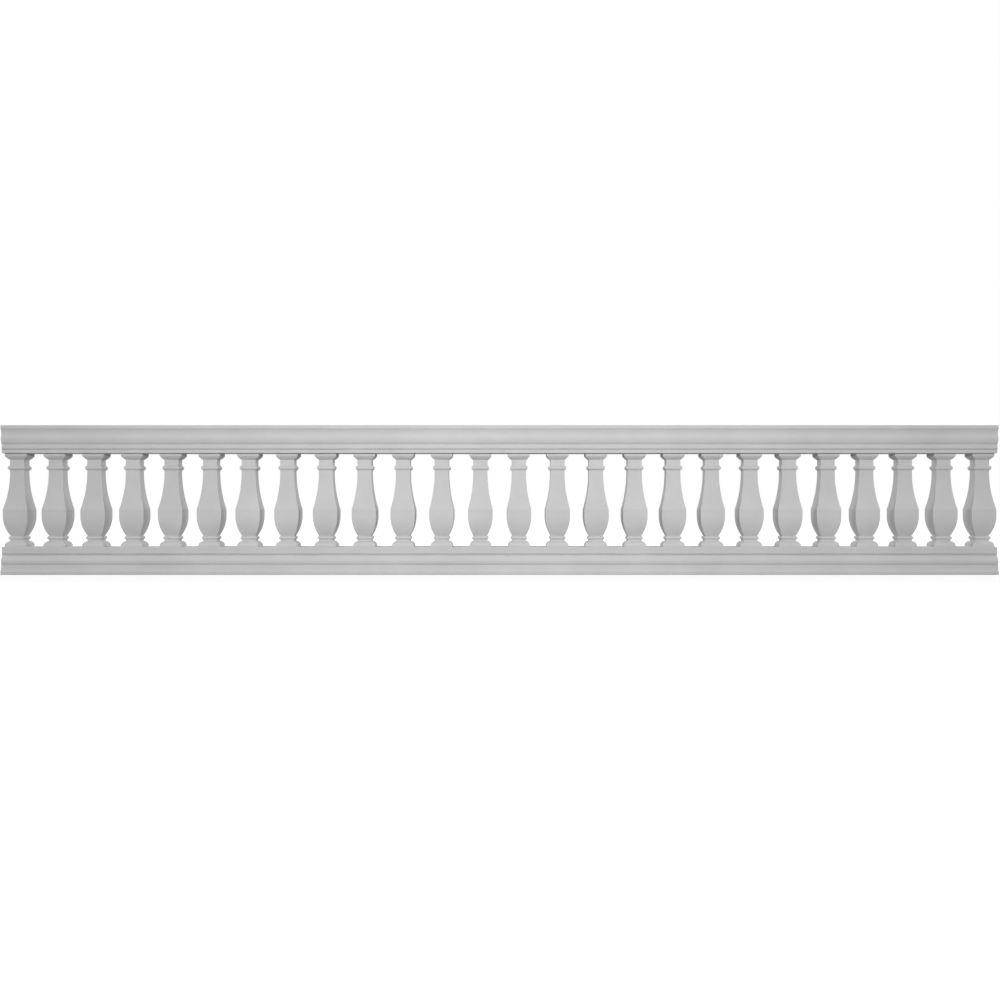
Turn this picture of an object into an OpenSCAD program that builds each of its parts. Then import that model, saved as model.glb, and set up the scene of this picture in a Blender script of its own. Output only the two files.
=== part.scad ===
// Fiberglass balustrade: a moulded top rail and bottom rail, hollow and open at both
// ends, with square bottle balusters between them. A steel pipe runs up through each
// baluster and stands out at its head and foot, into a socket hole in each rail.
// The origin is under the middle of the bottom rail, with X along the run, the front
// towards -Y and Z up. All sizes are in millimetres.

/* [Balustrade] */
// Length of the run, along both rails
rail_length = 6096; // [3000:1:8000]
// Height of the guard, from the floor to the top of the top rail
guard_h = 914.4; // [760:0.1:1100]
// Number of balusters in the run
baluster_count = 26; // [12:1:26]
// Rail left over at each end, past the widest part of the last baluster
end_clear = 1.1; // [0.5:0.1:75]
// Thickness of the laminate that the rails are moulded in
rail_wall = 5; // [3:0.5:6]
// Radius of the rounded arrises along the rails
arris_r = 5; // [2:0.5:6]

/* [Top rail] */
// Height of the top rail
top_rail_h = 170.7; // [150:0.1:210]
// Width of the square fillet along its top
top_fillet_w = 213; // [206:0.5:260]
// Height of that fillet
top_fillet_h = 22.5; // [16:0.5:30]
// Width at the top of the ogee, where it flares out under the fillet
top_flare_w = 206; // [202:0.5:210]
// Height of that flare
top_flare_h = 32; // [24:0.5:36]
// Width at the hollow of the ogee, under the flare
top_hollow_w = 187; // [183:0.5:191]
// Width at the swell of the ogee
top_swell_w = 202; // [199:0.5:206]
// Height of the swell, from the ogee's foot to its fullest line
top_swell_h = 28; // [22:0.5:32]
// Width at the foot of the ogee
top_foot_w = 190; // [187:0.5:194]
// Width at the back of the cove, under the ogee
top_cove_w = 171; // [166:0.5:176]
// Height of the cove
top_cove_h = 16; // [12:0.5:20]
// Width across the bead
top_bead_w = 183; // [179:0.5:187]
// Radius of the bead
top_bead_r = 12.5; // [11:0.5:14]
// Width across the lower fascia and the seat for the balusters
top_fascia_w = 173; // [169:0.5:177]
// Height of the lower fascia
top_fascia_h = 22; // [18:0.5:28]

/* [Bottom rail] */
// Height of the bottom rail
bottom_rail_h = 170.7; // [150:0.1:210]
// Width of the base
base_fascia_w = 215; // [208:0.5:260]
// Height of the upright face of the base
base_fascia_h = 20; // [14:0.5:26]
// Width at the top of the flare that rises from the base
base_flare_w = 193; // [190:0.5:198]
// Height of the flare
base_flare_h = 41; // [32:0.5:48]
// Depth and height of the groove over the flare
base_groove = 4; // [3:0.5:5]
// Width at the foot of the band over the groove
band_foot_w = 196; // [192:0.5:198]
// Width at the swell of the band
band_swell_w = 203; // [200:0.5:206]
// Height from the band's foot to its fullest line
band_swell_h = 19; // [14:0.5:24]
// Height from that line to the top of the band
band_rise_h = 34; // [30:0.5:44]
// Depth of the groove between the band and the upper fascia
seat_groove_d = 9; // [6:0.5:10]
// Height of that groove, whose roof slopes out to the fascia
seat_groove_h = 12; // [8:0.5:16]
// Width across the upper fascia and the seat for the balusters
seat_fascia_w = 173; // [169:0.5:177]

/* [Baluster] */
// Width of the square cap
cap_w = 133.4; // [124:0.1:160]
// Height of the flat cap plate
cap_h = 15.8; // [10:0.1:20]
// Height of the curved moulding under the cap
echinus_h = 22.8; // [18:0.1:26]
// Radius of that moulding's curve
echinus_r = 70; // [60:1:120]
// Width of the plain neck under the cap
frieze_w = 87.3; // [80:0.1:94]
// Height of the neck
frieze_h = 35.3; // [28:0.1:42]
// Width across the collar bead
collar_w = 107.6; // [103:0.1:112]
// Radius of the collar bead
collar_r = 15.5; // [13:0.1:17]
// Width of the shaft, close under the collar
shaft_w = 86.8; // [80:0.1:94]
// Length of straight shaft under the collar
shaft_straight_h = 10; // [5:1:20]
// Width of the bulb
bulb_w = 150.2; // [140:0.1:170]
// Height of the bulb's upright face
bulb_face_h = 43; // [30:1:60]
// Height of the curve from the bulb's foot to its upright face
bulb_curve_h = 120.5; // [100:0.5:130]
// Width at the bulb's foot
bulb_foot_w = 80; // [76:0.1:84]
// Width across the ring under the bulb
ring_w = 101.2; // [97:0.1:105]
// Width of the short neck under the ring
base_neck_w = 86.2; // [82:0.1:90]
// Height of the short neck
base_neck_h = 10.5; // [7:0.5:14]
// Width of the square base
base_w = 134.8; // [124:0.1:160]
// Height of the base's upright edge
base_edge_h = 6; // [4:0.5:10]
// Height of the rounded shoulder over that edge
base_shoulder_h = 27; // [20:0.5:32]

/* [Pipe] */
// Outside diameter of the steel pipe
pipe_od = 48.3; // [38:0.1:60]
// Wall of the pipe
pipe_wall = 3.7; // [2.5:0.1:5]
// Length of pipe that stands out at each end of a baluster
pipe_stub = 59; // [30:1:100]
// Gap for the bond, all round the pipe in the baluster
bond_gap = 0.3; // [0.1:0.1:0.8]
// Gap all round the pipe in a rail's socket hole
socket_gap = 0.6; // [0.3:0.1:0.9]

/* [Hidden] */
$fn = 64;
over = 1; // how far a cut runs past the face that it opens
arris_steps = 4;   // flats round each rounded arris
groove_lip = 1.5;  // how far the floor of the seat groove rises towards its back
// Where the top rail's curves start and end, in degrees round their centres
bead_start = -80;  // the bead springs from the fascia
bead_end = 60;     // and the cove cuts it off
cove_end = 100;    // the cove comes down from 180, at its back, to this
fiberglass = [0.80, 0.80, 0.80];
galvanized = [0.62, 0.63, 0.64];
baluster_h = guard_h - bottom_rail_h - top_rail_h;
baluster_w = max(bulb_w, cap_w, base_w);
end_margin = end_clear + baluster_w / 2; // from a rail end to the middle of the last baluster
pitch = (rail_length - 2 * end_margin) / (baluster_count - 1);
seat_low = bottom_rail_h;          // the balusters stand on this level
seat_high = seat_low + baluster_h; // and carry the top rail at this one

function baluster_x(i) = -rail_length / 2 + end_margin + (i - 1) * pitch;
function baluster_name(i) = str("baluster_", i < 10 ? "0" : "", i);

// Outlines. Each is the right half of a section, from the bottom up: [out from the
// middle, height]. The curves are worked out by these functions.

// Part of a circle or an oval, from angle a to angle b
function curve(centre, rx, rz, a, b, steps) =
    [for (i = [0:steps]) let (t = a + (b - a) * i / steps) centre + [rx * cos(t), rz * sin(t)]];

// An arc from p that arrives upright at q
function ease(p, q, steps) =
    let (d = q - p, r = (d.x * d.x + d.y * d.y) / (2 * d.x), sweep = asin(d.y / r))
    [for (i = [0:steps]) let (t = sweep * (1 - i / steps)) [q.x - r + r * cos(t), q.y - r * sin(t)]];

// An arc from p, which it leaves upright, out to q
function flare(p, q, steps) =
    let (d = q - p, r = (d.x * d.x + d.y * d.y) / (2 * d.x), sweep = asin(d.y / r))
    [for (i = [0:steps]) let (t = sweep * i / steps) [p.x + r - r * cos(t), p.y + r * sin(t)]];

// A double curve from p to q, upright at both ends
function ogee(p, q, steps) =
    let (d = q - p)
    [for (i = [0:steps]) let (t = i / steps) [p.x + d.x * (1 - cos(180 * t)) / 2, p.y + d.y * t]];

// An arc of radius r from p to q that swells outwards
function swell(p, q, r, steps) =
    let (d = q - p, l = norm(d), mid = (p + q) / 2,
         centre = mid + sqrt(r * r - l * l / 4) * [-d.y, d.x] / l,
         start = atan2(p.y - centre.y, p.x - centre.x), sweep = 2 * asin(l / (2 * r)))
    curve(centre, r, r, start, start + sweep, steps);

function flip(half) = [for (i = [len(half) - 1:-1:0]) [-half[i].x, half[i].y]];

// A half outline and its mirror image, as one closed shape
module section(half) {
    polygon(concat(half, flip(half)));
}

// A bead that stands out of a face: the part of its circle outside the widths below
// and above it
function bead(w, r, z, below_w, above_w, steps) =
    let (cx = w / 2 - r)
    curve([cx, z], r, r, -acos((below_w / 2 - cx) / r), acos((above_w / 2 - cx) / r), steps);

// Square bottle baluster -------------------------------------------------------

ring_r = (ring_w - bulb_foot_w) / 2;
ring_drop = sqrt(ring_r * ring_r - pow(base_neck_w / 2 - bulb_foot_w / 2, 2));
shoulder_top = base_edge_h + base_shoulder_h;
ring_z = shoulder_top + base_neck_h + ring_drop;
bulb_foot_z = ring_z + ring_r;
bulb_face_z = bulb_foot_z + bulb_curve_h;
bulb_top_z = bulb_face_z + bulb_face_h;
echinus_z = baluster_h - cap_h - echinus_h;
collar_rise = sqrt(collar_r * collar_r - pow(collar_r - (collar_w - frieze_w) / 2, 2));
collar_z = echinus_z - frieze_h - collar_rise;
collar_drop = sqrt(collar_r * collar_r - pow(collar_r - (collar_w - shaft_w) / 2, 2));
shaft_top_z = collar_z - collar_drop - shaft_straight_h;

baluster_half = concat(
    [[base_w / 2, 0]],
    curve([base_neck_w / 2, base_edge_h], (base_w - base_neck_w) / 2, base_shoulder_h, 0, 90, steps = 8),
    bead(ring_w, ring_r, ring_z, base_neck_w, bulb_foot_w, steps = 10),
    ease([bulb_foot_w / 2, bulb_foot_z], [bulb_w / 2, bulb_face_z], steps = 8),
    ease([bulb_w / 2, bulb_top_z], [shaft_w / 2, shaft_top_z], steps = 9),
    bead(collar_w, collar_r, collar_z, shaft_w, frieze_w, steps = 12),
    swell([frieze_w / 2, echinus_z], [cap_w / 2, baluster_h - cap_h], echinus_r, steps = 4),
    [[cap_w / 2, baluster_h]]
);

// The outline stands on all four sides, so the body is what two upright slabs cut to
// it have in common, and its mouldings meet in mitres at the corners.
module baluster(i) {
    slab_w = baluster_w + 2 * over;
    color(fiberglass)
    translate([baluster_x(i), 0, seat_low])
    difference() {
        intersection() {
            rotate([90, 0, 0])
                linear_extrude(slab_w, center = true) section(baluster_half);
            rotate([90, 0, 90])
                linear_extrude(slab_w, center = true) section(baluster_half);
        }
        translate([0, 0, -over])
            cylinder(d = pipe_od + 2 * bond_gap, h = baluster_h + 2 * over);
    }
}

// Pipe through one baluster, with a stub at each end
module pipe(i) {
    length = baluster_h + 2 * pipe_stub;
    translate([baluster_x(i), 0, seat_low - pipe_stub])
    difference() {
        cylinder(d = pipe_od, h = length);
        translate([0, 0, -over])
            cylinder(d = pipe_od - 2 * pipe_wall, h = length + 2 * over);
    }
}

module pipes() {
    color(galvanized)
    for (i = [1:baluster_count]) pipe(i);
}

// Rails ------------------------------------------------------------------------

bead_z = top_fascia_h + top_bead_r;
cove_z = bead_z + top_bead_r;
foot_z = cove_z + top_cove_h;
swell_z = foot_z + top_swell_h;
fillet_z = top_rail_h - top_fillet_h;
hollow_z = fillet_z - top_flare_h;

// Top rail: fascia, bead, cove, ogee and fillet
top_half = concat(
    curve([top_fascia_w / 2 - arris_r, arris_r], arris_r, arris_r, -90, 0, arris_steps),
    [[top_fascia_w / 2, top_fascia_h]],
    curve([top_bead_w / 2 - top_bead_r, bead_z], top_bead_r, top_bead_r, bead_start, bead_end, steps = 10),
    curve([top_foot_w / 2, cove_z], (top_foot_w - top_cove_w) / 2, top_cove_h, 180, cove_end, steps = 6),
    ease([top_foot_w / 2, foot_z], [top_swell_w / 2, swell_z], steps = 5),
    ogee([top_swell_w / 2, swell_z], [top_hollow_w / 2, hollow_z], steps = 8),
    flare([top_hollow_w / 2, hollow_z], [top_flare_w / 2, fillet_z], steps = 6),
    [[top_fillet_w / 2, fillet_z]],
    curve([top_fillet_w / 2 - arris_r, top_rail_h - arris_r], arris_r, arris_r, 0, 90, arris_steps)
);

groove_z = base_fascia_h + base_flare_h;
band_z = groove_z + base_groove;
band_swell_z = band_z + band_swell_h;
band_top_z = band_swell_z + band_rise_h;

// Bottom rail: base, flare, groove, swelling band and upper fascia
bottom_half = concat(
    curve([base_fascia_w / 2 - arris_r, arris_r], arris_r, arris_r, -90, 0, arris_steps),
    curve([base_fascia_w / 2, groove_z], (base_fascia_w - base_flare_w) / 2, base_flare_h,
        270, 180, steps = 7),
    [[base_flare_w / 2 - base_groove, groove_z], [base_flare_w / 2 - base_groove, band_z]],
    ease([band_foot_w / 2, band_z], [band_swell_w / 2, band_swell_z], steps = 4),
    ogee([band_swell_w / 2, band_swell_z], [seat_fascia_w / 2, band_top_z], steps = 8),
    [[seat_fascia_w / 2 - seat_groove_d, band_top_z + groove_lip]],
    [[seat_fascia_w / 2, band_top_z + seat_groove_h]],
    curve([seat_fascia_w / 2 - arris_r, bottom_rail_h - arris_r], arris_r, arris_r, 0, 90, arris_steps)
);

// A hollow length of rail, with the laminate as thick all round as rail_wall
module hollow_rail(half) {
    rotate([90, 0, 90])
    linear_extrude(rail_length, center = true)
    difference() {
        section(half);
        offset(r = -rail_wall, $fn = 16) section(half);
    }
}

// The socket holes for the pipes, through a rail's seat wall at height z
module socket_holes(z) {
    for (i = [1:baluster_count])
        translate([baluster_x(i), 0, z - rail_wall - over])
            cylinder(d = pipe_od + 2 * socket_gap, h = 2 * (rail_wall + over));
}

module bottom_rail() {
    color(fiberglass)
    difference() {
        hollow_rail(bottom_half);
        socket_holes(seat_low);
    }
}

module top_rail() {
    color(fiberglass)
    difference() {
        translate([0, 0, seat_high]) hollow_rail(top_half);
        socket_holes(seat_high);
    }
}

bottom_rail();
for (i = [1:baluster_count])
    baluster(i);
pipes();
top_rail();
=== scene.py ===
# %% [markdown]
# # A fiberglass balustrade
#
# A balustrade is a low guard along a terrace or a balcony. This one is a kit of moulded
# parts: two hollow rails, a row of square bottle balusters, and a steel pipe through each
# baluster that ties the rails together. Its sizes are settled in a solid model. This lesson
# loads that model, reads its measures, and makes
# the pieces that are seen, with finer edges and the finish of each material.

# %% Load the sized model
import math
from functools import partial

import bpy
import numpy as np
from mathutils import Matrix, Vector


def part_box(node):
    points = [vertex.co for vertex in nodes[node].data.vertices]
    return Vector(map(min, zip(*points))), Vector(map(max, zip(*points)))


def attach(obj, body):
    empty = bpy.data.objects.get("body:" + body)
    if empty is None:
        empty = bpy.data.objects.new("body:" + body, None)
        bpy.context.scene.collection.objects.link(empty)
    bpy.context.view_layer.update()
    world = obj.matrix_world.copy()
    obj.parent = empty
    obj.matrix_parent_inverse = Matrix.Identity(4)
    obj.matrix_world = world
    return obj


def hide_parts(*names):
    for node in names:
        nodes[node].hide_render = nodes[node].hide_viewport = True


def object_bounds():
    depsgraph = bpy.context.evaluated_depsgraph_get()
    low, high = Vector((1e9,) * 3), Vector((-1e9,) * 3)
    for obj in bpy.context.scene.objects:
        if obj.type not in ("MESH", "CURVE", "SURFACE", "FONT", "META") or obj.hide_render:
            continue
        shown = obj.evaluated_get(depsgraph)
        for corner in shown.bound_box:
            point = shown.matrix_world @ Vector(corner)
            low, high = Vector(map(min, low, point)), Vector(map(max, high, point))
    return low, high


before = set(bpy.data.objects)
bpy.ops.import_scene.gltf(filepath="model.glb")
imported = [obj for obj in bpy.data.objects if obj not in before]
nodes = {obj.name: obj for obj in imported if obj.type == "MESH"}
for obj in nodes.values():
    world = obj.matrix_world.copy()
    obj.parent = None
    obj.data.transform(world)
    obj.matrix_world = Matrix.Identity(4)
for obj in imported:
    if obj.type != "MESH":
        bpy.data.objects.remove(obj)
sized_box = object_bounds()
spans = [round(v, 4) for v in sized_box[1] - sized_box[0]]
print(len(nodes), "sized pieces; they span", spans, "m")

# %% [markdown]
# ## Where things stand
#
# Nothing is placed by eye. The row of balusters is even, so four numbers say where all of
# them stand: the middle of the first one, the distance to the next, how many there are,
# and the level of the seat under them. The boxes of the sized pieces give all four. The
# vertices nearest to a pipe's middle line give the radii of the bores and the pipes.

# %% Read off the row
baluster_names = sorted(name for name in nodes if name.startswith("baluster_"))
boxes = [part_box(name) for name in baluster_names]
middles = [(low.x + high.x) / 2 for low, high in boxes]
count = len(baluster_names)
first_x = middles[0]
pitch = (middles[-1] - middles[0]) / (count - 1)
seat_low, seat_high = boxes[0][0].z, boxes[0][1].z
rail_low, rail_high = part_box("bottom_rail")
rail_length = rail_high.x - rail_low.x
print(f"{count} balusters, {pitch * 1000:.2f} mm apart,",
      f"from level {seat_low:.4f} to {seat_high:.4f} m")


# %% Read off the radii
def points_of(name):
    """The vertices of a sized piece, as rows of x, y and z."""
    mesh = nodes[name].data
    flat = np.zeros(len(mesh.vertices) * 3, np.float32)
    mesh.vertices.foreach_get("co", flat)
    return flat.reshape(-1, 3).astype(float)


def radii(name):
    """How far a piece's vertices are from the first pipe's middle line, out to half the pitch."""
    points = points_of(name)
    out = np.hypot(points[:, 0] - first_x, points[:, 1])
    return out[out < pitch / 2]


bore_radius, socket_radius = radii(baluster_names[0]).min(), radii("bottom_rail").min()
pipe_inner, pipe_radius = radii("pipes").min(), radii("pipes").max()
pipe_low, pipe_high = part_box("pipes")
found = (pipe_inner, pipe_radius, bore_radius, socket_radius)
print("radii in mm:", [round(1000 * r, 2) for r in found])

# %% [markdown]
# ## The outlines
#
# A square baluster has one outline, which stands on all four of its sides. On the mitre
# where two sides meet, a vertex is equally far out in x and in y, so the vertices there
# are the outline itself. A rail has one section along its whole length. The open edges of
# its sawn end give that section: one loop outside, and one round the hollow.


# %% Read the outline of a baluster
SAME_PLACE = 1e-5  # m; what is nearer than this to a line or a plane is on it
past_bore = 1.2 * bore_radius  # what is further out than this isn't the bore's


def mitre_outline(name, middle):
    """[half width, height] up the mitre of a square piece, from its foot to its head."""
    x, y, z = points_of(name).T
    on_mitre = (abs(abs(x - middle) - abs(y)) < SAME_PLACE) & (abs(y) > past_bore)
    upwards = np.unique(np.round(np.c_[z, abs(y)][on_mitre], 5), axis=0)
    return upwards[:, ::-1]


baluster_outline = mitre_outline(baluster_names[0], first_x)
print(len(baluster_outline), "points up a baluster, which is",
      round(2000 * baluster_outline[:, 0].max(), 1), "mm wide")


# %% Read the sections of the rails
def end_loops(name):
    """The outer and the inner loop of a rail's sawn end, as rows of y and z."""
    mesh = nodes[name].data
    mesh.calc_loop_triangles()
    points, merged = np.unique(np.round(points_of(name), 6), axis=0, return_inverse=True)
    triangles = merged.ravel()[np.array([t.vertices for t in mesh.loop_triangles])]
    at_end = points[:, 0] < points[:, 0].min() + SAME_PLACE
    flat = triangles[at_end[triangles].all(axis=1)]
    edges = {(int(a), int(b)) for t in flat for a, b in zip(t, np.roll(t, -1))}
    following = {a: b for a, b in edges if (b, a) not in edges}
    loops = []
    while following:
        loop = [min(following)]
        while loop[-1] in following:
            loop.append(following.pop(loop[-1]))
        loops.append(points[loop[:-1]][:, 1:])
    return sorted(loops, key=lambda loop: -np.ptp(loop[:, 0]))


sections = {name: end_loops(name) for name in ("bottom_rail", "top_rail")}
for name, loops in sections.items():
    print(name, "has", [len(loop) for loop in loops], "points round the outside and the hollow")

# %% [markdown]
# ## Finer curves and eased edges
#
# The sized model draws a curve with as few flats as its size needs, and its corners are
# sharp. On the moulded piece a curve is smooth, and every corner is eased, because gelcoat
# won't fill a sharp one. So each long chord of a curve is split, with its new point moved
# out to where the curve passes, and each corner gives way to a small curve. A subdivision
# surface would round everything alike and lose the crisp mouldings, so this works on the
# outlines, before there is any surface.

# %% Smooth and ease an outline
LONG_CHORD = 0.008  # m; chords of a curve over this length are split
SHORTER, LONGER = 0.7, 1.4  # two chords that are this alike in length are of one curve
EDGE_EASE = 0.0012  # m; how far back from a corner its small curve starts
MOST_EASE = 0.45  # as a share of a side, so that the eases at its two ends don't meet
EASE_STEPS = 3
CORNER_TURN = 30  # degrees; the chords of a curve turn less than this
CREASE_TURN, CREASE_FACE = 12, 0.02  # degrees and m; a crease turns so much beside such a face


def run_round(loop):
    """A closed outline turned so that it runs anticlockwise."""
    y, z = loop.T
    return loop if np.sum(y * np.roll(z, -1) - np.roll(y, -1) * z) > 0 else loop[::-1]


def chords_and_turns(loop):
    """Each chord of a closed outline, its length, the turn at its start, and if it is a corner."""
    chord = np.roll(loop, -1, axis=0) - loop
    length = np.hypot(*chord.T)
    heading = np.degrees(np.arctan2(chord[:, 1], chord[:, 0]))
    turn = (heading - np.roll(heading, 1) + 180) % 360 - 180
    beside = np.maximum(length, np.roll(length, 1))
    crease = (abs(turn) > CREASE_TURN) & (beside > CREASE_FACE)
    return chord, length, turn, (abs(turn) > CORNER_TURN) | crease


def smoothed(loop):
    """Splits each long chord of a curve: one with a chord of about its length beside it."""
    chord, length, turn, corner = chords_and_turns(loop)
    made = []
    for i, point in enumerate(loop):
        after = (i + 1) % len(loop)
        made.append(point)
        bends = [turn[k] for k in (i, after) if not corner[k]]
        beside = [length[k] for k, end in ((i - 1, i), (after, after)) if not corner[end]]
        even = any(SHORTER < length[i] / b < LONGER for b in beside)
        if length[i] > LONG_CHORD and even and min(bends) * max(bends) > 0:
            rise = math.tan(math.radians(max(bends, key=abs)) / 4) / 2
            made.append(point + chord[i] / 2 + rise * np.array([chord[i][1], -chord[i][0]]))
    return np.array(made)


def eased(loop, ease=EDGE_EASE):
    """Gives each corner of a closed outline a small curve that starts and ends on its sides."""
    chord, length, _, corner = chords_and_turns(loop)
    made = []
    for i, point in enumerate(loop):
        if not corner[i]:
            made.append(point)
            continue
        back = min(ease, MOST_EASE * length[i - 1], MOST_EASE * length[i])
        start = point - chord[i - 1] / length[i - 1] * back
        end = point + chord[i] / length[i] * back
        for t in np.linspace(0, 1, EASE_STEPS + 1):
            made.append((1 - t) ** 2 * start + 2 * t * (1 - t) * point + t * t * end)
    return np.array(made)


# %% Finish the outlines
BORE_FLATS = 12  # so many just clear the round bore of the sized model
bore_corner = bore_radius / math.cos(math.pi / BORE_FLATS)
baluster_loop = np.vstack([baluster_outline, [[bore_corner, seat_high], [bore_corner, seat_low]]])
baluster_loop = eased(smoothed(baluster_loop))
outer_loops = {name: eased(smoothed(run_round(loops[0]))) for name, loops in sections.items()}
print("a baluster's outline has", len(baluster_loop), "points now, the rails'",
      [len(loop) for loop in outer_loops.values()])

# %% [markdown]
# ## A helper for nodes
#
# Geometry and materials are both made with node trees. Each node needs the same three
# things: its kind, its settings, and something for its inputs, which is either a value or
# a link from another node. One function does that, so that a tree reads as a list of
# steps. A second one opens a geometry tree with named inputs for its sizes.


# %% Add a node
def add(tree, kind, settings={}, inputs={}):
    """Adds a node. Inputs are named by their identifiers. A node given for one links its first
    output that is in use, and a list of links goes to the one input."""
    node = tree.nodes.new(kind)
    for name, value in settings.items():
        setattr(node, name, value)
    for name, value in inputs.items():
        socket = next(s for s in node.inputs if s.identifier == name)
        for v in value if isinstance(value, list) else [value]:
            if isinstance(v, bpy.types.Node):
                v = next(s for s in v.outputs if s.enabled)
            if isinstance(v, bpy.types.NodeSocket):
                tree.links.new(v, socket)
            else:
                socket.default_value = v
    return node


# %% Open a geometry tree, and run one
def geometry_tree(title, sizes):
    """A geometry tree with these named inputs. Returns it with its inputs and its output."""
    tree = bpy.data.node_groups.new(title, "GeometryNodeTree")
    tree.interface.new_socket("Geometry", in_out="INPUT", socket_type="NodeSocketGeometry")
    for name, kind in sizes.items():
        tree.interface.new_socket(name, in_out="INPUT", socket_type="NodeSocket" + kind)
    tree.interface.new_socket("Geometry", in_out="OUTPUT", socket_type="NodeSocketGeometry")
    return tree, add(tree, "NodeGroupInput").outputs, add(tree, "NodeGroupOutput").inputs


def made_by(tree, title, mesh, values):
    """Runs a tree on a mesh with these inputs, and keeps the result as a plain mesh."""
    piece = bpy.data.objects.new(title, mesh)
    bpy.context.scene.collection.objects.link(piece)
    make = piece.modifiers.new("make", "NODES")
    make.node_group = tree
    for socket in tree.interface.items_tree:
        if socket.in_out == "INPUT" and socket.name in values:
            make[socket.identifier] = values[socket.name]
    even = piece.modifiers.new("even shading on flats", "WEIGHTED_NORMAL")
    even.keep_sharp = True
    view = bpy.context.evaluated_depsgraph_get()
    plain = bpy.data.meshes.new_from_object(
        piece.evaluated_get(view), preserve_all_data_layers=True, depsgraph=view)
    plain.name = title
    # The tree leaves an empty slot in front of the finishes, which no face uses
    for i in reversed(range(len(plain.materials))):
        if plain.materials[i] is None:
            plain.materials.pop(index=i)
    piece.modifiers.clear()
    piece.data = plain
    faces = sum(len(p.vertices) - 2 for p in plain.polygons)
    print(f"{title}: {len(plain.vertices)} vertices, {faces} triangles")
    return piece


# %% [markdown]
# ## Colours
#
# Colours are written as on a paint card, as sRGB hex values. Blender's shaders work with
# linear light, so one function turns the first into the second.


# %% Turn a colour to linear light
def srgb(code):
    """A colour like #C8C8C8 as linear red, green, blue and an alpha of 1."""
    parts = [int(code[i:i + 2], 16) / 255 for i in (1, 3, 5)]
    return (*(c / 12.92 if c <= 0.04045 else ((c + 0.055) / 1.055) ** 2.4 for c in parts), 1.0)


def open_material(title):
    """An empty material with its output. Returns it with a function that adds nodes to it."""
    material = bpy.data.materials.new(title)
    material.use_nodes = True
    material.node_tree.nodes.clear()
    return material, partial(add, material.node_tree)


# %% [markdown]
# ## Primed gelcoat
#
# The skin of the rails and balusters is gelcoat with a coat of grey primer. Polyester
# gelcoat has an index of refraction of about 1.5 and a roughness of about 0.3, but the
# primer over it is nearly matte, so the roughness here is about 0.7, with less shine. The
# eye sees a plain, neutral light grey, with three things that keep it from looking like
# paper: a very faint cloudiness where the primer went on thicker, the slight ripple of
# glass fibre showing through the skin, and the fine dimples of sprayed primer. Real
# dimples are about 2 mm apart, too fine to show on a run of 6 m, so they are drawn at 7 mm.

# %% Give the gelcoat its colour and gloss
CLOUD_WIDTH, RUB_WIDTH = 0.26, 0.07  # m
MOST_NOISE = {"From Min": 0.3, "From Max": 0.7}  # nearly all of a noise lies between these
gelcoat, put = open_material("primed_gelcoat")
place = put("ShaderNodeTexCoord").outputs["Object"]
clouds = put("ShaderNodeTexNoise", {}, {
    "Vector": place, "Scale": 1 / CLOUD_WIDTH, "Detail": 3.0, "Roughness": 0.55})
cloud_share = put("ShaderNodeMapRange", {}, {"Value": clouds.outputs["Fac"], **MOST_NOISE})
grey = put("ShaderNodeMix", {"data_type": "RGBA"}, {
    "Factor_Float": cloud_share.outputs["Result"],
    "A_Color": srgb("#C9C9C9"), "B_Color": srgb("#D0D0D0")})
rub = put("ShaderNodeTexNoise", {}, {"Vector": place, "Scale": 1 / RUB_WIDTH, "Detail": 4.0})
rub_roughness = put("ShaderNodeMapRange", {}, {
    "Value": rub.outputs["Fac"], **MOST_NOISE, "To Min": 0.66, "To Max": 0.80})
print("clouds", CLOUD_WIDTH, "m wide, and rubbed patches of", RUB_WIDTH, "m")

# %% Give the gelcoat its ripple and dimples
RIPPLE_WIDTH, DIMPLE_WIDTH = 0.05, 0.007  # m
ripple = put("ShaderNodeTexNoise", {}, {
    "Vector": place, "Scale": 1 / RIPPLE_WIDTH, "Detail": 1.0})
rippled = put("ShaderNodeBump", {}, {
    "Height": ripple.outputs["Fac"], "Strength": 0.3, "Distance": 0.001})
dimples = put("ShaderNodeTexNoise", {}, {
    "Vector": place, "Scale": 1 / DIMPLE_WIDTH, "Detail": 1.0})
dimpled = put("ShaderNodeBump", {}, {
    "Height": dimples.outputs["Fac"], "Strength": 0.4, "Distance": 0.0005,
    "Normal": rippled.outputs["Normal"]})
skin = put("ShaderNodeBsdfPrincipled", {}, {
    "Base Color": grey, "Roughness": rub_roughness.outputs["Result"],
    "IOR": 1.5, "Specular IOR Level": 0.3, "Normal": dimpled.outputs["Normal"]})
put("ShaderNodeOutputMaterial", {}, {"Surface": skin.outputs["BSDF"]})
print(gelcoat.name, "has", len(gelcoat.node_tree.nodes), "nodes")

# %% [markdown]
# ## Bare laminate
#
# Inside the rails, and on their sawn ends, there is no gelcoat: what shows is chopped
# strand mat in polyester resin. The resin is a cloudy greenish grey and fairly glossy. The
# mat is a tangle of glass bundles 50 mm long and about 1 mm thick, which show as pale
# straws. Noise that is stretched a long way in one direction draws straws that all lie
# that way, so four of them, each turned differently, make a tangle. The bundles are
# drawn 4 mm thick, because finer ones wouldn't show.

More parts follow.
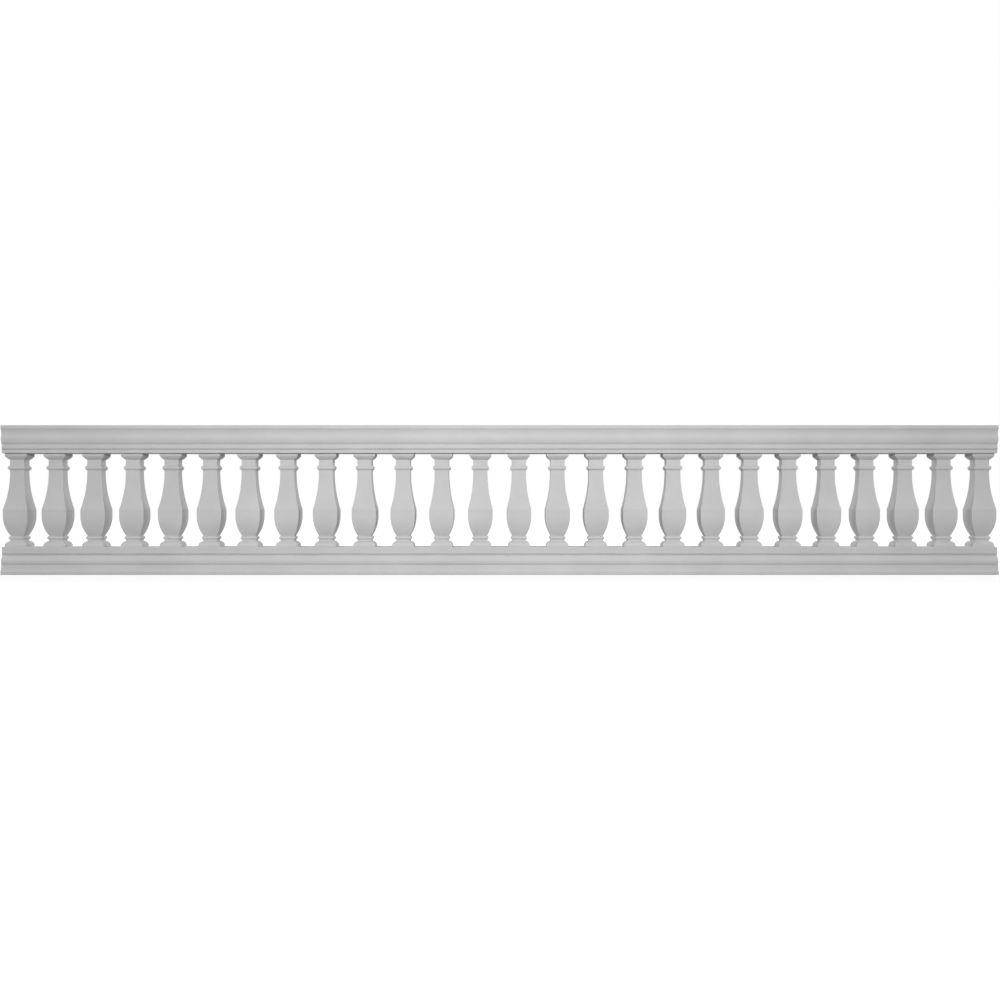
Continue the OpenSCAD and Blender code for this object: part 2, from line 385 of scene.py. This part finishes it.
# %% Tangle the straws
STRAW_LENGTH, SLIM = 0.05, 1 / 12  # m, and a straw's width as a share of its length
STRAW_TURNS = ((0.0, 0.1, 0.2), (0.0, -0.8, 0.9), (0.0, 0.7, 2.2), (0.0, -0.5, -0.8))  # radians
laminate, put = open_material("strand_mat_laminate")
place = put("ShaderNodeTexCoord").outputs["Object"]
tangle = None
for turn in STRAW_TURNS:
    lay = put("ShaderNodeMapping", {"vector_type": "TEXTURE"}, {
        "Vector": place, "Rotation": turn, "Scale": (1.0, SLIM, SLIM)})
    straws = put("ShaderNodeTexNoise", {}, {
        "Vector": lay.outputs["Vector"], "Scale": 1 / STRAW_LENGTH, "Detail": 1.0})
    straw = put("ShaderNodeMapRange", {"interpolation_type": "SMOOTHSTEP"}, {
        "Value": straws.outputs["Fac"], "From Min": 0.56, "From Max": 0.63}).outputs["Result"]
    if tangle:
        straw = put("ShaderNodeMath", {"operation": "MAXIMUM"}, {
            "Value": tangle, "Value_001": straw}).outputs[0]
    tangle = straw
print(len(STRAW_TURNS), "layers of straws,", round(1000 * STRAW_LENGTH * SLIM, 1), "mm thick")

# %% Lay the straws in resin
RESIN_CLOUD = 0.12  # m
resin = put("ShaderNodeTexNoise", {}, {
    "Vector": place, "Scale": 1 / RESIN_CLOUD, "Detail": 3.0})
resin_colour = put("ShaderNodeMix", {"data_type": "RGBA"}, {
    "Factor_Float": resin.outputs["Fac"], "A_Color": srgb("#AAAE9E"), "B_Color": srgb("#BEC0AF")})
matted = put("ShaderNodeMix", {"data_type": "RGBA"}, {
    "Factor_Float": tangle, "A_Color": resin_colour, "B_Color": srgb("#D6D7CC")})
wetness = put("ShaderNodeMapRange", {}, {"Value": tangle, "To Min": 0.38, "To Max": 0.6})
straws_raised = put("ShaderNodeBump", {}, {
    "Height": tangle, "Strength": 0.5, "Distance": 0.0006})
bare = put("ShaderNodeBsdfPrincipled", {}, {
    "Base Color": matted, "Roughness": wetness.outputs["Result"],
    "IOR": 1.55, "Normal": straws_raised.outputs["Normal"]})
put("ShaderNodeOutputMaterial", {}, {"Surface": bare.outputs["BSDF"]})
print(laminate.name, "has", len(laminate.node_tree.nodes), "nodes")

# %% [markdown]
# ## Hot-dip galvanized steel
#
# The pipes are dipped in molten zinc, which sets in flat crystals, the spangle, 5 to 15 mm
# across. Each crystal is the same metal, but it scatters light a little differently, so it
# reads as a slightly lighter or darker patch with its own gloss. A Voronoi texture has
# just such cells, and its random colour for each one drives both.

# %% Make the galvanized steel
SPANGLE_WIDTH, RUN_WIDTH = 0.011, 0.015  # m; a run is a soft ridge where the zinc ran off
zinc, put = open_material("galvanized_steel")
place = put("ShaderNodeTexCoord").outputs["Object"]
spangle = put("ShaderNodeTexVoronoi", {}, {
    "Vector": place, "Scale": 1 / SPANGLE_WIDTH, "Randomness": 1.0})
crystal = put("ShaderNodeSeparateColor", {}, {"Color": spangle.outputs["Color"]})
zinc_colour = put("ShaderNodeMix", {"data_type": "RGBA"}, {
    "Factor_Float": crystal.outputs["Red"],
    "A_Color": srgb("#8B8E90"), "B_Color": srgb("#B4B7B9")})
zinc_gloss = put("ShaderNodeMapRange", {}, {
    "Value": crystal.outputs["Green"], "To Min": 0.38, "To Max": 0.58})
runs = put("ShaderNodeTexNoise", {}, {"Vector": place, "Scale": 1 / RUN_WIDTH, "Detail": 2.0})
runs_raised = put("ShaderNodeBump", {}, {
    "Height": runs.outputs["Fac"], "Strength": 0.3, "Distance": 0.0005})
steel = put("ShaderNodeBsdfPrincipled", {}, {
    "Base Color": zinc_colour, "Metallic": 1.0,
    "Roughness": zinc_gloss.outputs["Result"], "Normal": runs_raised.outputs["Normal"]})
put("ShaderNodeOutputMaterial", {}, {"Surface": steel.outputs["BSDF"]})
print(zinc.name, "has", len(zinc.node_tree.nodes), "nodes")

# %% [markdown]
# ## Balusters and pipes
#
# A square baluster follows a rule, and so does a pipe: walk once round a plan, and at each
# step draw the whole outline. For the pipe the plan is a circle. For the baluster it is a
# square with slightly rounded corners, and a square with very round corners is a circle,
# so one tree can make both. It takes the outline as vertices: x is the half width, y is
# the radius of the plan's corners there, z is the height. A grid gives the surface, its
# columns go round the plan, and its rows go along the outline, which returns through the
# bore. Then the tree stands copies of the piece along the row and makes them real.

# %% Open the tree for a row of square turnings, with its sheet
WELD = 1e-6  # m; vertices nearer than this become one
row_tree, size, result = geometry_tree("row of square turnings", {
    "Corner Steps": "Int", "Count": "Int", "Pitch": "Float", "First X": "Float",
    "Finish": "Material"})
put = partial(add, row_tree)
whole = partial(put, "FunctionNodeIntegerMath")
outline_points = put("GeometryNodeAttributeDomainSize", {"component": "MESH"}, {
    "Geometry": size["Geometry"]}).outputs["Point Count"]
rows = whole({"operation": "ADD"}, {"Value": outline_points, "Value_001": 1}).outputs[0]
per_corner = whole({"operation": "ADD"}, {
    "Value": size["Corner Steps"], "Value_001": 1}).outputs[0]
columns = whole({"operation": "MULTIPLY_ADD"}, {
    "Value": per_corner, "Value_001": 4, "Value_002": 1}).outputs[0]
sheet = put("GeometryNodeMeshGrid", {}, {
    "Vertices X": columns, "Vertices Y": rows}).outputs["Mesh"]
print("the sheet takes", len(row_tree.nodes), "nodes")

# %% Find each vertex's place on the sheet, and the outline there
# Its column and its row, and from the column which corner it is at and which step of that
index = put("GeometryNodeInputIndex").outputs[0]
column = whole({"operation": "DIVIDE_FLOOR"}, {"Value": index, "Value_001": rows}).outputs[0]
row = whole({"operation": "MODULO"}, {"Value": index, "Value_001": rows}).outputs[0]
row = whole({"operation": "MODULO"}, {"Value": row, "Value_001": outline_points}).outputs[0]
corner = whole({"operation": "DIVIDE_FLOOR"}, {
    "Value": column, "Value_001": per_corner}).outputs[0]
step = whole({"operation": "MODULO"}, {"Value": column, "Value_001": per_corner}).outputs[0]

# The outline at that row: half width, corner radius and height
here = put("GeometryNodeInputPosition").outputs[0]
drawn = put("GeometryNodeSampleIndex", {"data_type": "FLOAT_VECTOR", "domain": "POINT"}, {
    "Geometry": size["Geometry"], "Value": here, "Index": row}).outputs["Value"]
half, radius, height = put("ShaderNodeSeparateXYZ", {}, {"Vector": drawn}).outputs
print("with the outline, the tree has", len(row_tree.nodes), "nodes")

# %% Move the sheet's vertices to the surface
# The middle of the rounded corner, turned to its quarter, and the radius turned to its step
inset = put("ShaderNodeMath", {"operation": "SUBTRACT"}, {
    "Value": half, "Value_001": radius}).outputs[0]
corner_middle = put("ShaderNodeCombineXYZ", {}, {"X": inset, "Y": inset, "Z": height}).outputs[0]
quarter = put("ShaderNodeMath", {"operation": "MULTIPLY"}, {
    "Value": corner, "Value_001": math.pi / 2}).outputs[0]
share = put("ShaderNodeMath", {"operation": "DIVIDE"}, {
    "Value": step, "Value_001": size["Corner Steps"]}).outputs[0]
facing = put("ShaderNodeMath", {"operation": "MULTIPLY_ADD"}, {
    "Value": share, "Value_001": math.pi / 2, "Value_002": quarter}).outputs[0]
turned_middle = put("ShaderNodeVectorRotate", {"rotation_type": "Z_AXIS"}, {
    "Vector": corner_middle, "Angle": quarter}).outputs[0]
spoke = put("ShaderNodeCombineXYZ", {}, {"X": radius}).outputs[0]
turned_spoke = put("ShaderNodeVectorRotate", {"rotation_type": "Z_AXIS"}, {
    "Vector": spoke, "Angle": facing}).outputs[0]
on_surface = put("ShaderNodeVectorMath", {"operation": "ADD"}, {
    "Vector": turned_middle, "Vector_001": turned_spoke}).outputs[0]
shaped = put("GeometryNodeSetPosition", {}, {
    "Geometry": sheet, "Position": on_surface}).outputs[0]
closed = put("GeometryNodeMergeByDistance", {}, {
    "Geometry": shaped, "Distance": WELD}).outputs[0]
print("with the surface, it has", len(row_tree.nodes), "nodes")

# %% Stand copies of the piece in a row
start = put("ShaderNodeCombineXYZ", {}, {"X": size["First X"]}).outputs[0]
apart = put("ShaderNodeCombineXYZ", {}, {"X": size["Pitch"]}).outputs[0]
stands = put("GeometryNodeMeshLine", {}, {
    "Count": size["Count"], "Start Location": start, "Offset": apart}).outputs["Mesh"]
copies = put("GeometryNodeInstanceOnPoints", {}, {"Points": stands, "Instance": closed}).outputs[0]
smooth = put("GeometryNodeSetShadeSmooth", {"domain": "FACE"}, {"Geometry": copies}).outputs[0]
real = put("GeometryNodeRealizeInstances", {}, {"Geometry": smooth}).outputs[0]
finished = put("GeometryNodeSetMaterial", {}, {
    "Geometry": real, "Material": size["Finish"]}).outputs[0]
row_tree.links.new(finished, result["Geometry"])
print("the whole tree for a row has", len(row_tree.nodes), "nodes")


# %% Make the balusters and the pipes
PLAN_EASE = 0.0018  # m; a baluster's upright edges are eased a little more than its mouldings
PIPE_EASE = 0.0007  # m; the pipes are deburred where they were cut
PIPE_FLATS = 36


def outline_mesh(loop, corner_radius):
    """An outline as vertices, each with the radius of the plan's corners at its height."""
    mesh = bpy.data.meshes.new("outline")
    mesh.from_pydata([(w, r, z) for (w, z), r in zip(loop, corner_radius)], [], [])
    return mesh


row_sizes = {"Count": count, "Pitch": pitch, "First X": first_x}
in_bore = baluster_loop[:, 0] < past_bore
balusters = made_by(
    row_tree, "balusters_moulded",
    outline_mesh(baluster_loop, np.where(in_bore, baluster_loop[:, 0], PLAN_EASE)),
    {**row_sizes, "Corner Steps": BORE_FLATS // 4, "Finish": gelcoat})
pipe_loop = eased(np.array([[pipe_inner, pipe_low.z], [pipe_radius, pipe_low.z],
                            [pipe_radius, pipe_high.z], [pipe_inner, pipe_high.z]]), PIPE_EASE)
pipes = made_by(row_tree, "steel_pipes", outline_mesh(pipe_loop, pipe_loop[:, 0]),
                {**row_sizes, "Corner Steps": PIPE_FLATS // 4, "Finish": zinc})

# %% [markdown]
# ## Rails
#
# A rail is pulled out of its section: fill the outer loop, extrude it, and take away a
# second solid that fills the inner loop. Then take away a short cylinder for each socket
# hole, where a pipe stands through the seat. A mesh boolean is exact here, because every
# solid is closed, and the faces keep an attribute that says if they are skin, which was
# made against the mould, or bare laminate.

# %% Open the tree for a hollow moulding, and part its two loops
OVER = 0.01  # m; the hollow is cut this far past both ends
rail_tree, size, result = geometry_tree("hollow moulding with sockets", {
    "Length": "Float", "Seat": "Float", "Wall": "Float", "Socket Radius": "Float",
    "Count": "Int", "Pitch": "Float", "First X": "Float", "Skin": "Material", "Bare": "Material"})
put = partial(add, rail_tree)
is_hollow = put("GeometryNodeInputNamedAttribute", {"data_type": "BOOLEAN"}, {
    "Name": "hollow"}).outputs[0]
parted = put("GeometryNodeSeparateGeometry", {"domain": "POINT"}, {
    "Geometry": size["Geometry"], "Selection": is_hollow}).outputs
cut_length = put("ShaderNodeMath", {"operation": "ADD"}, {
    "Value": size["Length"], "Value_001": 2 * OVER}).outputs[0]
print("two loops, for the outside and the hollow")

# %% Pull a solid out of each loop
solids = []
for loop, length in ((parted["Inverted"], size["Length"]), (parted["Selection"], cut_length)):
    drawn = put("GeometryNodeMeshToCurve", {}, {"Mesh": loop}).outputs[0]
    face = put("GeometryNodeFillCurve", {"mode": "NGONS"}, {"Curve": drawn}).outputs[0]
    pulled = put("GeometryNodeExtrudeMesh", {"mode": "FACES"}, {
        "Mesh": face, "Offset": (0, 0, 1), "Offset Scale": length, "Individual": False}).outputs
    sides = put("GeometryNodeStoreNamedAttribute", {"data_type": "BOOLEAN", "domain": "FACE"}, {
        "Geometry": pulled["Mesh"], "Name": "skin", "Value": pulled["Side"]}).outputs[0]
    other_end = put("GeometryNodeFlipFaces", {}, {"Mesh": face}).outputs[0]
    both = put("GeometryNodeJoinGeometry", {}, {"Geometry": [sides, other_end]}).outputs[0]
    solid = put("GeometryNodeMergeByDistance", {}, {
        "Geometry": both, "Distance": WELD}).outputs[0]
    half_back = put("ShaderNodeMath", {"operation": "MULTIPLY"}, {
        "Value": length, "Value_001": -0.5}).outputs[0]
    to_middle = put("ShaderNodeCombineXYZ", {}, {"X": half_back}).outputs[0]
    # This turn sends the section's x to y, its y to z, and the pull from z to x
    solids.append(put("GeometryNodeTransform", {}, {
        "Geometry": solid, "Translation": to_middle,
        "Rotation": (math.pi / 2, 0, math.pi / 2)}).outputs[0])
outer, inner = solids
inner = put("GeometryNodeStoreNamedAttribute", {"data_type": "BOOLEAN", "domain": "FACE"}, {
    "Geometry": inner, "Name": "skin", "Value": False}).outputs[0]
print("with the solids, the tree has", len(rail_tree.nodes), "nodes")

# %% Cut the hollow, and a socket hole for each pipe
SOCKET_FLATS = 48
DRILL_WALLS = 3.0  # the drill is this many walls long, with the wall at its middle
first_socket = put("ShaderNodeCombineXYZ", {}, {
    "X": size["First X"], "Z": size["Seat"]}).outputs[0]
apart = put("ShaderNodeCombineXYZ", {}, {"X": size["Pitch"]}).outputs[0]
stands = put("GeometryNodeMeshLine", {}, {
    "Count": size["Count"], "Start Location": first_socket, "Offset": apart}).outputs["Mesh"]
depth = put("ShaderNodeMath", {"operation": "MULTIPLY"}, {
    "Value": size["Wall"], "Value_001": DRILL_WALLS}).outputs[0]
drill = put("GeometryNodeMeshCylinder", {}, {
    "Vertices": SOCKET_FLATS, "Radius": size["Socket Radius"], "Depth": depth}).outputs["Mesh"]
drilled = put("GeometryNodeInstanceOnPoints", {}, {"Points": stands, "Instance": drill}).outputs[0]
holes = put("GeometryNodeRealizeInstances", {}, {"Geometry": drilled}).outputs[0]
shell = put("GeometryNodeMeshBoolean", {"operation": "DIFFERENCE", "solver": "EXACT"}, {
    "Mesh 1": outer, "Mesh 2": [inner, holes]}).outputs["Mesh"]
print("with the cuts, it has", len(rail_tree.nodes), "nodes")

# %% Finish the moulding: smooth along it, sharp where the saw and the drill went
CUT_BEND = math.radians(40)  # an edge that bends more is a cut one
smooth = put("GeometryNodeSetShadeSmooth", {"domain": "FACE"}, {"Geometry": shell}).outputs[0]
bend = put("GeometryNodeInputMeshEdgeAngle").outputs["Unsigned Angle"]
cut_edge = put("FunctionNodeCompare", {"data_type": "FLOAT", "operation": "GREATER_THAN"}, {
    "A": bend, "B": CUT_BEND}).outputs[0]
crisp = put("GeometryNodeSetShadeSmooth", {"domain": "EDGE"}, {
    "Geometry": smooth, "Selection": cut_edge, "Shade Smooth": False}).outputs[0]
real = put("GeometryNodeRealizeInstances", {}, {"Geometry": crisp}).outputs[0]
all_bare = put("GeometryNodeSetMaterial", {}, {
    "Geometry": real, "Material": size["Bare"]}).outputs[0]
is_skin = put("GeometryNodeInputNamedAttribute", {"data_type": "BOOLEAN"}, {
    "Name": "skin"}).outputs[0]
finished = put("GeometryNodeSetMaterial", {}, {
    "Geometry": all_bare, "Selection": is_skin, "Material": size["Skin"]}).outputs[0]
rail_tree.links.new(finished, result["Geometry"])
print("the whole tree for a rail has", len(rail_tree.nodes), "nodes")


# %% Make the two rails
def section_mesh(outer, inner):
    """Both loops of a section, drawn flat, with an attribute that marks the hollow."""
    points = [(y, z, 0.0) for y, z in [*outer, *inner]]
    edges = [(i, (i + 1) % len(outer)) for i in range(len(outer))]
    edges += [(len(outer) + i, len(outer) + (i + 1) % len(inner)) for i in range(len(inner))]
    mesh = bpy.data.meshes.new("section")
    mesh.from_pydata(points, edges, [])
    hollow = mesh.attributes.new("hollow", "BOOLEAN", "POINT")
    hollow.data.foreach_set("value", [i >= len(outer) for i in range(len(points))])
    return mesh


rails = {}
for name, seat in (("bottom_rail", seat_low), ("top_rail", seat_high)):
    inner_loop = run_round(sections[name][1])
    wall = (np.ptp(sections[name][0][:, 1]) - np.ptp(inner_loop[:, 1])) / 2
    rails[name] = made_by(
        rail_tree, name + "_moulding", section_mesh(outer_loops[name], inner_loop),
        {**row_sizes, "Length": rail_length, "Seat": seat, "Wall": wall,
         "Socket Radius": socket_radius, "Skin": gelcoat, "Bare": laminate})

# %% [markdown]
# ## Hand the pieces over
#
# Each piece now takes the place of the sized ones that it stands for, and rides on the
# one body that there is, because nothing in a balustrade moves.

# %% Replace and ride
for piece, slot_name, stood_for in (
        (rails["bottom_rail"], "fiberglass", ["bottom_rail"]),
        (rails["top_rail"], "fiberglass", ["top_rail"]),
        (balusters, "fiberglass", baluster_names),
        (pipes, "galvanized_pipe", ["pipes"])):
    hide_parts(*stood_for)
    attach(piece, "root")
    print(piece.name, "stands for", len(stood_for), "sized pieces")

# %% [markdown]
# ## Floor and background
#
# The floor is a pale sheet that fades into a white background. A white surface that is
# only lit never renders quite white, so what the camera and the reflections see of it has
# some light of its own: less near the balustrade, where its shadow must stay, and more
# further off. Other rays see plain pale paint, so the floor bounces light as it should.


# %% Tell what is seen from what only bounces light
def seen_directly(put):
    """1 for rays of the camera, of reflections and through clear things, and 0 for the rest."""
    rays = put("ShaderNodeLightPath").outputs
    seen = rays["Is Camera Ray"]
    for kind in ("Is Glossy Ray", "Is Transmission Ray"):
        seen = put("ShaderNodeMath", {"operation": "MAXIMUM"}, {
            "Value": seen, "Value_001": rays[kind]}).outputs[0]
    return seen


# %% Mix the floor's paint
FADE_START, FADE_END = 0.6, 1.6  # m from the balustrade
NEAR_GLOW = 0.74
floor_paint, put = open_material("pale_floor")
place = put("ShaderNodeTexCoord").outputs["Object"]
along, across, _ = put("ShaderNodeSeparateXYZ", {}, {"Vector": place}).outputs
beside = put("ShaderNodeMath", {"operation": "ABSOLUTE"}, {"Value": across}).outputs[0]
from_middle = put("ShaderNodeMath", {"operation": "ABSOLUTE"}, {"Value": along}).outputs[0]
past_end = put("ShaderNodeMath", {"operation": "SUBTRACT"}, {
    "Value": from_middle, "Value_001": rail_length / 2}).outputs[0]
off = put("ShaderNodeMath", {"operation": "MAXIMUM"}, {
    "Value": beside, "Value_001": past_end}).outputs[0]
far = put("ShaderNodeMapRange", {"interpolation_type": "SMOOTHSTEP"}, {
    "Value": off, "From Min": FADE_START, "From Max": FADE_END}).outputs["Result"]
glow_share = put("ShaderNodeMapRange", {}, {
    "Value": far, "To Min": NEAR_GLOW, "To Max": 1.0}).outputs["Result"]
glow = put("ShaderNodeMath", {"operation": "MULTIPLY"}, {
    "Value": seen_directly(put), "Value_001": glow_share}).outputs[0]
paint = put("ShaderNodeBsdfDiffuse", {}, {"Color": srgb("#A2A2A2")}).outputs[0]
light = put("ShaderNodeEmission", {}, {"Color": srgb("#FFFFFF"), "Strength": glow}).outputs[0]
both = put("ShaderNodeAddShader", {}, {"Shader": paint, "Shader_001": light}).outputs[0]
put("ShaderNodeOutputMaterial", {}, {"Surface": both})
print(floor_paint.name, "has", len(floor_paint.node_tree.nodes), "nodes")

# %% Lay the floor
FLOOR_SIZE = 40.0  # m
half = FLOOR_SIZE / 2
corners = [(-half, -half, 0), (half, -half, 0), (half, half, 0), (-half, half, 0)]
floor_mesh = bpy.data.meshes.new("floor")
floor_mesh.from_pydata(corners, [], [(0, 1, 2, 3)])
floor_mesh.materials.append(floor_paint)
floor = bpy.data.objects.new("floor", floor_mesh)
bpy.context.scene.collection.objects.link(floor)
print("floor:", FLOOR_SIZE, "m square at the level of the rail's underside")

# %% [markdown]
# ## Light
#
# The light is that of a plain studio: an even grey surround, so that no side is dark, and
# one soft lamp in front, above the rail. The lamp stands near enough for its light to fall
# off towards the ends of the run, and low enough to leave the underside of each moulding
# and the top of each ledge a little darker than the upright faces. Two weaker lamps stand
# behind, far apart, so that they light the back more than the sides of the balusters that
# face each other. One off each end lights the sawn ends.

# %% Make the surround
SURROUND = 0.31
world = bpy.data.worlds.new("studio surround")
world.use_nodes = True
world.node_tree.nodes.clear()
put = partial(add, world.node_tree)
surround = put("ShaderNodeBackground", {}, {
    "Color": srgb("#FFFFFF"), "Strength": SURROUND}).outputs[0]
white = put("ShaderNodeBackground", {}, {"Color": srgb("#FFFFFF"), "Strength": 1.0}).outputs[0]
either = put("ShaderNodeMixShader", {}, {
    "Fac": seen_directly(put), "Shader": surround, "Shader_001": white}).outputs[0]
put("ShaderNodeOutputWorld", {}, {"Surface": either})
bpy.context.scene.world = world
print("surround:", SURROUND, "for what it lights, 1.0 where it is seen")


# %% Hang the lamps
def lamp(title, place, aim, width, height, watts):
    """A soft rectangular lamp that shines from one point towards another."""
    light = bpy.data.lights.new(title, "AREA")
    light.shape = "RECTANGLE"
    light.size, light.size_y, light.energy = width, height, watts
    holder = bpy.data.objects.new(title, light)
    holder.location = place
    holder.rotation_euler = (Vector(aim) - Vector(place)).to_track_quat("-Z", "Y").to_euler()
    holder.visible_camera = False
    bpy.context.scene.collection.objects.link(holder)


low, high = sized_box
middle = (low + high) / 2
lamp("front lamp", place=(0, -6.0, 2.3), aim=middle, width=1.8, height=1.2, watts=256)
for side, end in (("left", low.x), ("right", high.x)):
    lamp(side + " back lamp", place=(1.5 * end, 5.0, 3.2), aim=(end / 2, 0, middle.z),
         width=1.8, height=1.2, watts=138)
    lamp(side + " end lamp", place=(2.0 * end, 0, 1.8), aim=(end, 0, middle.z),
         width=1.2, height=1.2, watts=30)
print("five lamps: one in front, two behind, and one off each end")

# %% [markdown]
# ## Camera
#
# The camera looks straight at the run from in front, level with its middle, through a lens
# with a view 45 degrees wide, from as far back as just takes in the whole length.

# %% Set the camera
VIEW_WIDTH = math.radians(45)
SENSOR_WIDTH = 36  # mm
CAMERA_BACK, CAMERA_ASIDE = 7.477, 0.0025  # m
camera_data = bpy.data.cameras.new("camera")
camera_data.sensor_width = SENSOR_WIDTH
camera_data.lens = SENSOR_WIDTH / 2 / math.tan(VIEW_WIDTH / 2)
camera = bpy.data.objects.new("camera", camera_data)
camera.location = (middle.x + CAMERA_ASIDE, -CAMERA_BACK, middle.z)
camera.rotation_euler = (math.pi / 2, 0, 0)
bpy.context.scene.collection.objects.link(camera)
bpy.context.scene.camera = camera
bpy.context.scene.view_settings.view_transform = "Standard"
print(f"lens {camera_data.lens:.2f} mm, {CAMERA_BACK} m back")
